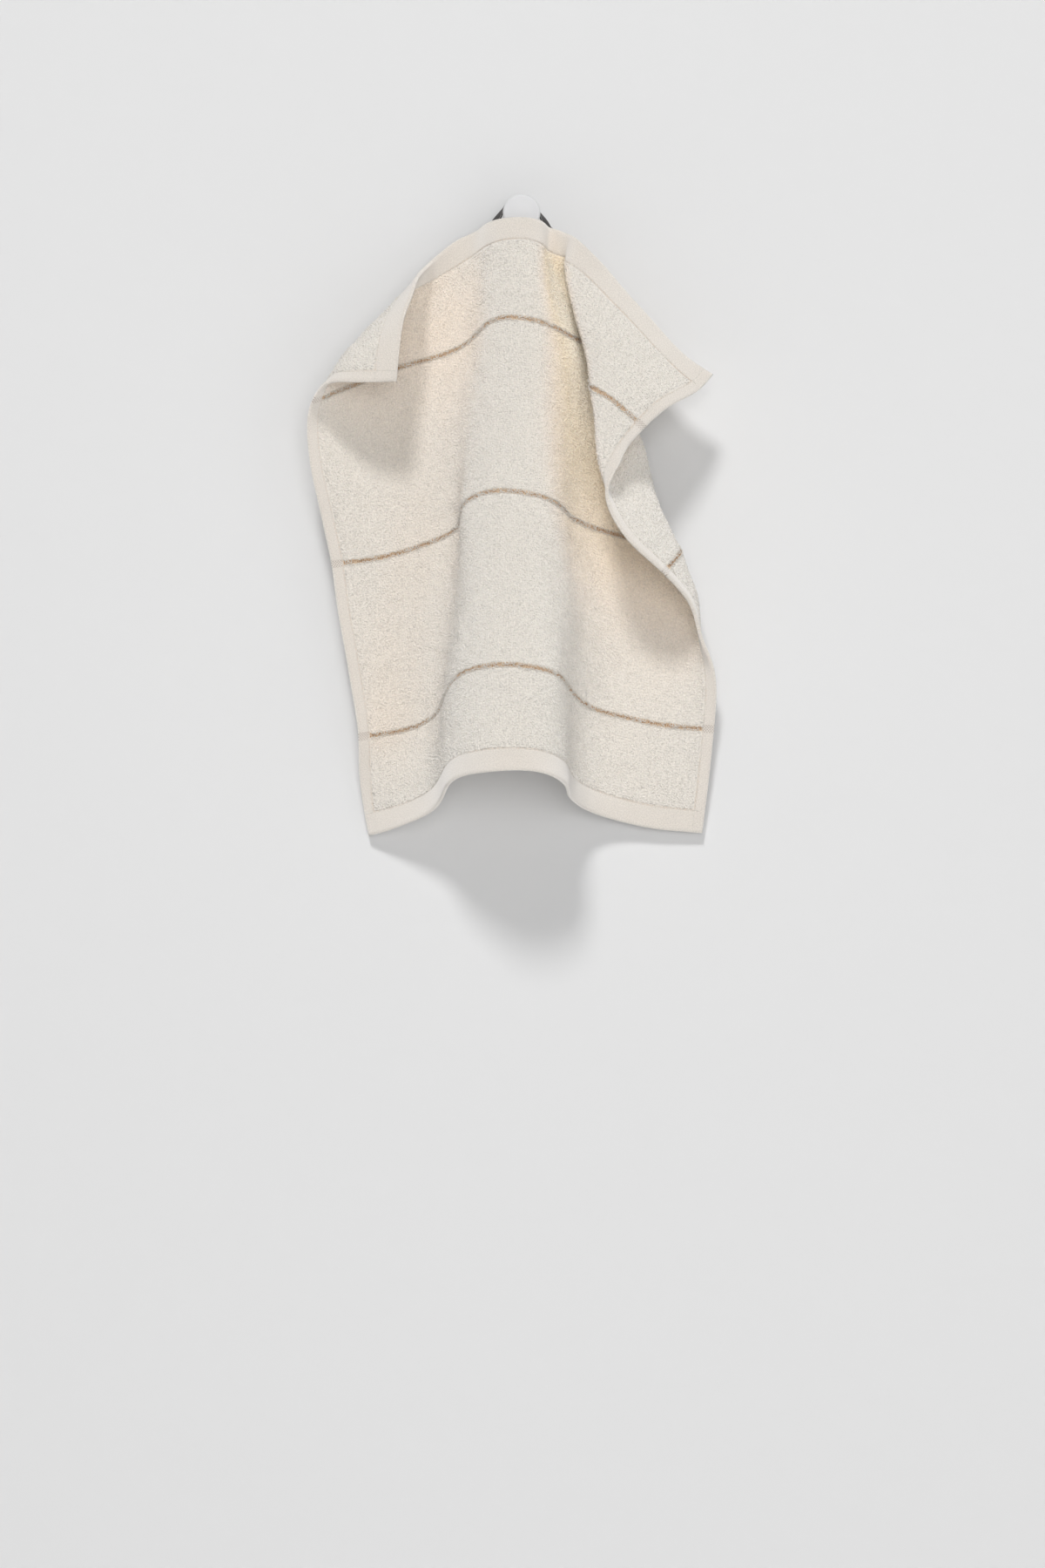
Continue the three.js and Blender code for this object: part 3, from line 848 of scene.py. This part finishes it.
class Signal:                       # a shader socket that takes part in sums
    def __init__(self, tree, socket=None):
        self.tree, self.socket = tree, socket

    def node(self, kind, settings=None, values=None, output=0):
        made = self.tree.nodes.new("ShaderNode" + kind)
        for name, value in (settings or {}).items():
            if name == "stops":
                ramp = made.color_ramp
                while len(ramp.elements) < len(value):
                    ramp.elements.new(0.5)
                for element, (place, shade) in zip(ramp.elements, value):
                    element.position, element.color = place, shade
            else:
                setattr(made, name, value)
        for name, value in (values or {}).items():
            if isinstance(value, Signal):
                self.tree.links.new(value.socket, made.inputs[name])
            else:
                made.inputs[name].default_value = value
        return Signal(self.tree, made.outputs[output])

    def maths(self, operation, *values):
        return self.node("Math", {"operation": operation}, dict(enumerate(values)))

    def speckle(self, size, detail=2):              # noise at this place, this many lumps to its unit
        return self.node("TexNoise", None, {"Vector": self, "Scale": size, "Detail": detail})

    def __add__(self, other):
        return self.maths("ADD", self, other)

    def __sub__(self, other):
        return self.maths("SUBTRACT", self, other)

    def __rsub__(self, other):
        return self.maths("SUBTRACT", other, self)

    def __mul__(self, other):
        return self.maths("MULTIPLY", self, other)

    __radd__, __rmul__ = __add__, __mul__

    def above(self, start, end):    # 0 before start and 1 past end, smoothly
        return self.node("MapRange", {"interpolation_type": "SMOOTHSTEP"}, {
            "Value": self, "From Min": start, "From Max": end})

    def mixed(self, low, high):     # a colour between two, by this value
        return self.node("Mix", {"data_type": "RGBA"}, {0: self, 6: low, 7: high}, 2)


def newMaterial(name, roughness, settings=None):
    made = bpy.data.materials.new(name)
    made.use_nodes = True
    shader = made.node_tree.nodes["Principled BSDF"]
    shader.inputs["Roughness"].default_value = roughness
    for socket, value in (settings or {}).items():
        shader.inputs[socket].default_value = value
    return made, shader, Signal(made.node_tree)


def feed(node, socket, signal):
    signal.tree.links.new(signal.socket, node.inputs[socket])


def colour(red, green, blue):
    return (red, green, blue, 1)


cotton = {
    "terry": (                      # how closed in a place is, and the colour there: painted warm bounced light, brighter and warmer in the folds
        (0, colour(0.87, 0.832, 0.774)),
        (0.1, colour(0.895, 0.848, 0.785)),
        (0.2, colour(0.925, 0.85, 0.765)),
        (0.3, colour(0.955, 0.86, 0.74)),
        (0.45, colour(0.985, 0.885, 0.725)),
        (0.65, colour(0.99, 0.925, 0.81))),
    "openHem": colour(0.87, 0.832, 0.774),
    "terryGlowInHem": 0.15,                # how much of the terry's colour, with its painted warm glow, is mixed into that
    "hem": colour(1.02, 1.012, 1.012),              # these two colour it: lighter on the weave's high threads, and painted shade on its low ones
    "hemLowShade": colour(0.93, 0.913, 0.90),
    "thread": colour(0.86, 0.83, 0.78),
    "threadDeep": colour(0.78, 0.74, 0.68),
    "ribs": colour(0.50, 0.30, 0.17),
    "ribsPale": colour(0.78, 0.60, 0.44),
    "underRibs": colour(0.76, 0.62, 0.46),
    "check": colour(0.47, 0.39, 0.34),
    "roughness": 0.95,
    "grainSize": 320,               # grains across the whole cloth
    "grain": 0.52,                  # how much the grain darkens and lightens
    "hemGrainSize": 420,
    "hemGrain": 0.5,
    "mottleSize": 30,
    "mottle": 0.4,                  # share of the hem's light and dark that isn't its weave's
    "hemPitch": (1.0, 0.8),         # of the hem's weave, across and down, in millimetres as all below
    "hemSlant": 0.5,
    "checkPitch": 1.5,
    "terryEdge": 0.5,
    "stripeEdge": (1.2, 1.5),       # from a stripe's middle, between the pile
    "hemStripeEdge": (2.1, 2.3),
    "seamLine": 0.6,                # the painted brownish shade line that shows here and there along the seam, under the stitches
    "seamStart": (-0.5, 0),
    "seamEnd": (0.2, 0.8),
    "seamGaps": (0.3, 0.6),
    "seamPaintedShade": 0.35,
    "hemRelief": 0.7,
    "terryRelief": 1.2,
    "threadGrain": 900,
    "threadGrainEdge": (0.35, 0.65),
}
cottonSockets = {"Sheen Weight": 0.6, "Sheen Roughness": 0.6, "Diffuse Roughness": 1.0}


def wave(signal, pitch):            # from 0 to 1 and back once each pitch
    turns = signal * (2 * math.pi / pitch)
    return turns.maths("SINE", turns) * 0.5 + 0.5


def tinted(plain, tint):            # one colour dyed with another
    settings = {"data_type": "RGBA", "blend_type": "MULTIPLY"}
    return plain.node("Mix", settings, {0: 1, 6: plain, 7: tint}, 2)


def flatPlace(start, scale):        # the flat UV map, and the places across and down in millimetres
    uv = start.node("UVMap", {"uv_map": "flat"})
    across, down = (start.node("SeparateXYZ", None, {0: uv}, axis) for axis in (0, 1))
    return uv, across * scale, down * scale


def addBump(start, shader, height, strength, distance):
    values = {"Height": height, "Strength": strength, "Distance": distance}
    feed(shader, "Normal", start.node("Bump", None, values))


def terryColourWithPaintedGlow(start):
    # painted warm bounced light: the colour grows warmer and brighter where the cloth closes in, with a
    # random grain over it
    closed = start.node("Attribute", {"attribute_name": "closedIn"}, None, 2)
    plain = start.node("ValToRGB", {"stops": cotton["terry"]}, {0: closed})
    uv = start.node("UVMap", {"uv_map": "flat"})
    grain = uv.speckle(cotton["grainSize"])
    return tinted(plain, (grain - 0.5) * cotton["grain"] + 1)


def clothMaterial():
    made, shader, start = newMaterial("terry", cotton["roughness"], cottonSockets)
    uv, across, down = flatPlace(start, side)
    fromSide = across.maths("MINIMUM", across, side - across) - cloth["sideHem"]
    fromEnd = down.maths("MINIMUM", down, side - down) - cloth["endHem"]
    past = fromSide.maths("MINIMUM", fromSide, fromEnd)
    terry = past.above(0, cotton["terryEdge"])
    fine, broad = uv.speckle(cotton["hemGrainSize"], 3), uv.speckle(cotton["mottleSize"])
    warp = wave(across + down * cotton["hemSlant"], cotton["hemPitch"][0])
    weft = wave(down, cotton["hemPitch"][1])
    weave = warp * weft + (1 - warp) * (1 - weft)
    check = wave(across + down, cotton["checkPitch"]) * wave(across - down, cotton["checkPitch"])
    stripe = 0
    for place in cloth["stripesDown"]:
        gap = down.maths("ABSOLUTE", down - place)
        stripe = stripe + (1 - gap.above(*cotton["stripeEdge"])) * terry
        stripe = stripe + (1 - gap.above(*cotton["hemStripeEdge"])) * (1 - terry)
    # the terry's colour with its painted warm glow, a little of which also goes into the hems
    glowedTerry = terryColourWithPaintedGlow(start)
    values = {0: cotton["terryGlowInHem"], 6: cotton["openHem"], 7: glowedTerry}
    glowedHem = start.node("Mix", {"data_type": "RGBA"}, values, 2)
    # painted shade in the weave's low threads, mixed with a random mottle
    light = weave * (1 - cotton["mottle"]) + broad * cotton["mottle"]
    hem = tinted(glowedHem, light.mixed(cotton["hemLowShade"], cotton["hem"]))
    hem = tinted(hem, (fine - 0.5) * cotton["hemGrain"] + 1)
    plain = terry.mixed(hem, glowedTerry)
    banded = terry.mixed(check.mixed(hem, cotton["check"]), cotton["underRibs"])
    # painted shade: a broken brownish line along each seam, where the pile stands over it
    fromSeam = past + cotton["seamLine"]
    seam = fromSeam.above(*cotton["seamStart"]) * (1 - fromSeam.above(*cotton["seamEnd"]))
    seam = seam * broad.above(*cotton["seamGaps"]) * cotton["seamPaintedShade"]
    feed(shader, "Base Color", seam.mixed(stripe.mixed(plain, banded), cotton["ribsPale"]))
    relief = (1 - terry) * weave * cotton["hemRelief"] + terry * (fine * cotton["terryRelief"])
    addBump(start, shader, relief, strength=0.5, distance=0.0003)
    return made


def pileMaterial():
    made, shader, start = newMaterial("pile", cotton["roughness"], cottonSockets)
    # the pile gets the same painted warm glow as the terry under it
    feed(shader, "Base Color", terryColourWithPaintedGlow(start))
    return made


def threadMaterial(name, pale, deep):
    made, shader, start = newMaterial(name, roughness=0.85, settings={"Sheen Weight": 0.1})
    grain = start.node("TexCoord", None, None, 3).speckle(cotton["threadGrain"])
    feed(shader, "Base Color", grain.above(*cotton["threadGrainEdge"]).mixed(deep, pale))
    return made


tapeLook = {
    "dark": colour(0.014, 0.013, 0.017),
    "fleck": colour(0.075, 0.058, 0.045),
    "edge": colour(0.25, 0.245, 0.24),
    "edgeStart": (3.35, 3.5),       # of the pale line near each selvedge, from the tape's middle
    "edgeEnd": (4.1, 4.25),
    "twill": 1.1,
    "picks": 0.5,
    "twillShare": 0.6,
    "fleckEdge": (0.45, 0.8),
}


def tapeMaterial():
    made, shader, start = newMaterial("tape", roughness=0.8, settings={"Sheen Weight": 0.1})
    _, across, along = flatPlace(start, tape["mapSize"])
    middle = across.maths("ABSOLUTE", across - tape["width"] / 2)
    share = tapeLook["twillShare"]
    twill = wave(across + along, tapeLook["twill"]) * share
    twill = twill + wave(along, tapeLook["picks"]) * (1 - share)
    edgeLine = middle.above(*tapeLook["edgeStart"]) * (1 - middle.above(*tapeLook["edgeEnd"]))
    weave = twill.above(*tapeLook["fleckEdge"]).mixed(tapeLook["dark"], tapeLook["fleck"])
    feed(shader, "Base Color", edgeLine.mixed(weave, tapeLook["edge"]))
    addBump(start, shader, twill, strength=0.6, distance=0.0002)
    return made


pegLook = {
    "low": colour(0.77, 0.77, 0.78),
    "high": colour(0.81, 0.81, 0.815),
    "roughness": 0.42,
    "roughnessRange": 0.12,
    "fineSize": 700,
    "broadSize": 60,
}


def pegMaterial():
    made, shader, start = newMaterial("peg", pegLook["roughness"], {"Specular IOR Level": 0.4})
    place = start.node("TexCoord", None, None, 3)
    fine, broad = place.speckle(pegLook["fineSize"], 3), place.speckle(pegLook["broadSize"])
    feed(shader, "Base Color", broad.mixed(pegLook["low"], pegLook["high"]))
    spread = pegLook["roughnessRange"]
    feed(shader, "Roughness", fine * spread + (pegLook["roughness"] - spread / 2))
    addBump(start, shader, fine, strength=0.15, distance=0.00005)
    return made


terryFinish, pileFinish = clothMaterial(), pileMaterial()
threadFinish = threadMaterial("thread", cotton["thread"], cotton["threadDeep"])
ribFinish = threadMaterial("ribs", cotton["ribsPale"], cotton["ribs"])
for piece, finish, slot in (
        (washcloth, terryFinish, "terry"),
        (pileFront, pileFinish, "terry"), (pileBack, pileFinish, "terry"),
        (ribsFront, ribFinish, "terry"), (ribsBack, ribFinish, "terry"),
        (loopsFront, threadFinish, "terry"), (loopsBack, threadFinish, "terry"),
        (stitches, threadFinish, "terry"), (hangingLoop, tapeMaterial(), "tape"),
        (wallPeg, pegMaterial(), "peg")):
    piece.data.materials.append(finish)
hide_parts("cloth")
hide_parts("hanging_loop")
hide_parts("wall_peg")
print("materials laid on")


# Backdrop, light and camera

setting = {
    "wallColour": (0.85, 0.85, 0.85),
    "wallBehind": 0.0004,           # how far the wall's face is behind the peg's back
    "wallSize": 6,
    "floorDown": -1.15,
    "ambient": 0.1,
    "aim": (0, -0.04, -0.25),
    "lamps": (                      # name, width, light on what faces it at the cloth, and place
        ("key", 0.78, 0.45, (-0.54, -3.23, 3.03)),
        ("front", 1.2, 0.28, (0.2, -2.6, -0.1)),
        ("side", 3, 0.08, (3, -3, 0.2)),
    ),
}
camera = {
    "place": (0.0005, -1.8, -0.3046),
    "sensor": 36,
    "focalPixels": 3816,            # in a frame of this height
    "frameHeight": 1800,
}


# Opaque from the front, and clear from behind so that it never hides the part
def stageMaterial(name):
    made, shader, start = newMaterial(name, roughness=0.9)
    shader.inputs["Base Color"].default_value = colour(*setting["wallColour"])
    clear = start.node("BsdfTransparent")
    backs = start.node("NewGeometry", None, None, 6)
    solid = Signal(made.node_tree, shader.outputs[0])
    mix = start.node("MixShader", None, {0: backs, 1: solid, 2: clear})
    feed(made.node_tree.nodes["Material Output"], "Surface", mix)
    return made


def addStage(name, corners):
    mesh = bpy.data.meshes.new(name)
    mesh.from_pydata(corners, [], [(0, 1, 2, 3)])
    plane = bpy.data.objects.new(name, mesh)
    plane.data.materials.append(stageMaterial(name))
    bpy.context.collection.objects.link(plane)


rim, wall, ground = setting["wallSize"] / 2, setting["wallBehind"], setting["floorDown"]
corners = (-rim, wall, ground), (rim, wall, ground)
addStage("wallBackdrop", [*corners, (rim, wall, rim), (-rim, wall, rim)])
addStage("floor", [(-rim, -rim, ground), (rim, -rim, ground), *reversed(corners)])

world = bpy.data.worlds.new("softRoom")
world.use_nodes = True
world.node_tree.nodes["Background"].inputs["Color"].default_value = (1, 1, 1, 1)
world.node_tree.nodes["Background"].inputs["Strength"].default_value = setting["ambient"]
bpy.context.scene.world = world

for name, width, brightness, place in setting["lamps"]:
    towardsCloth = Vector(setting["aim"]) - Vector(place)
    lampData = bpy.data.lights.new(name, "AREA")
    lampData.shape, lampData.size = "DISK", width
    lampData.energy = brightness * (math.pi * towardsCloth.length) ** 2
    lamp = bpy.data.objects.new(name, lampData)
    lamp.location = place
    lamp.rotation_euler = towardsCloth.to_track_quat("-Z", "Y").to_euler()
    bpy.context.collection.objects.link(lamp)

cameraData = bpy.data.cameras.new("camera")
cameraData.sensor_width = camera["sensor"]
cameraData.lens = camera["sensor"] * camera["focalPixels"] / camera["frameHeight"]
eye = bpy.data.objects.new("camera", cameraData)
eye.location, eye.rotation_euler = camera["place"], (math.pi / 2, 0, 0)
bpy.context.collection.objects.link(eye)
bpy.context.scene.camera = eye
bpy.context.scene.view_settings.view_transform = "Standard"
print("light and camera set")
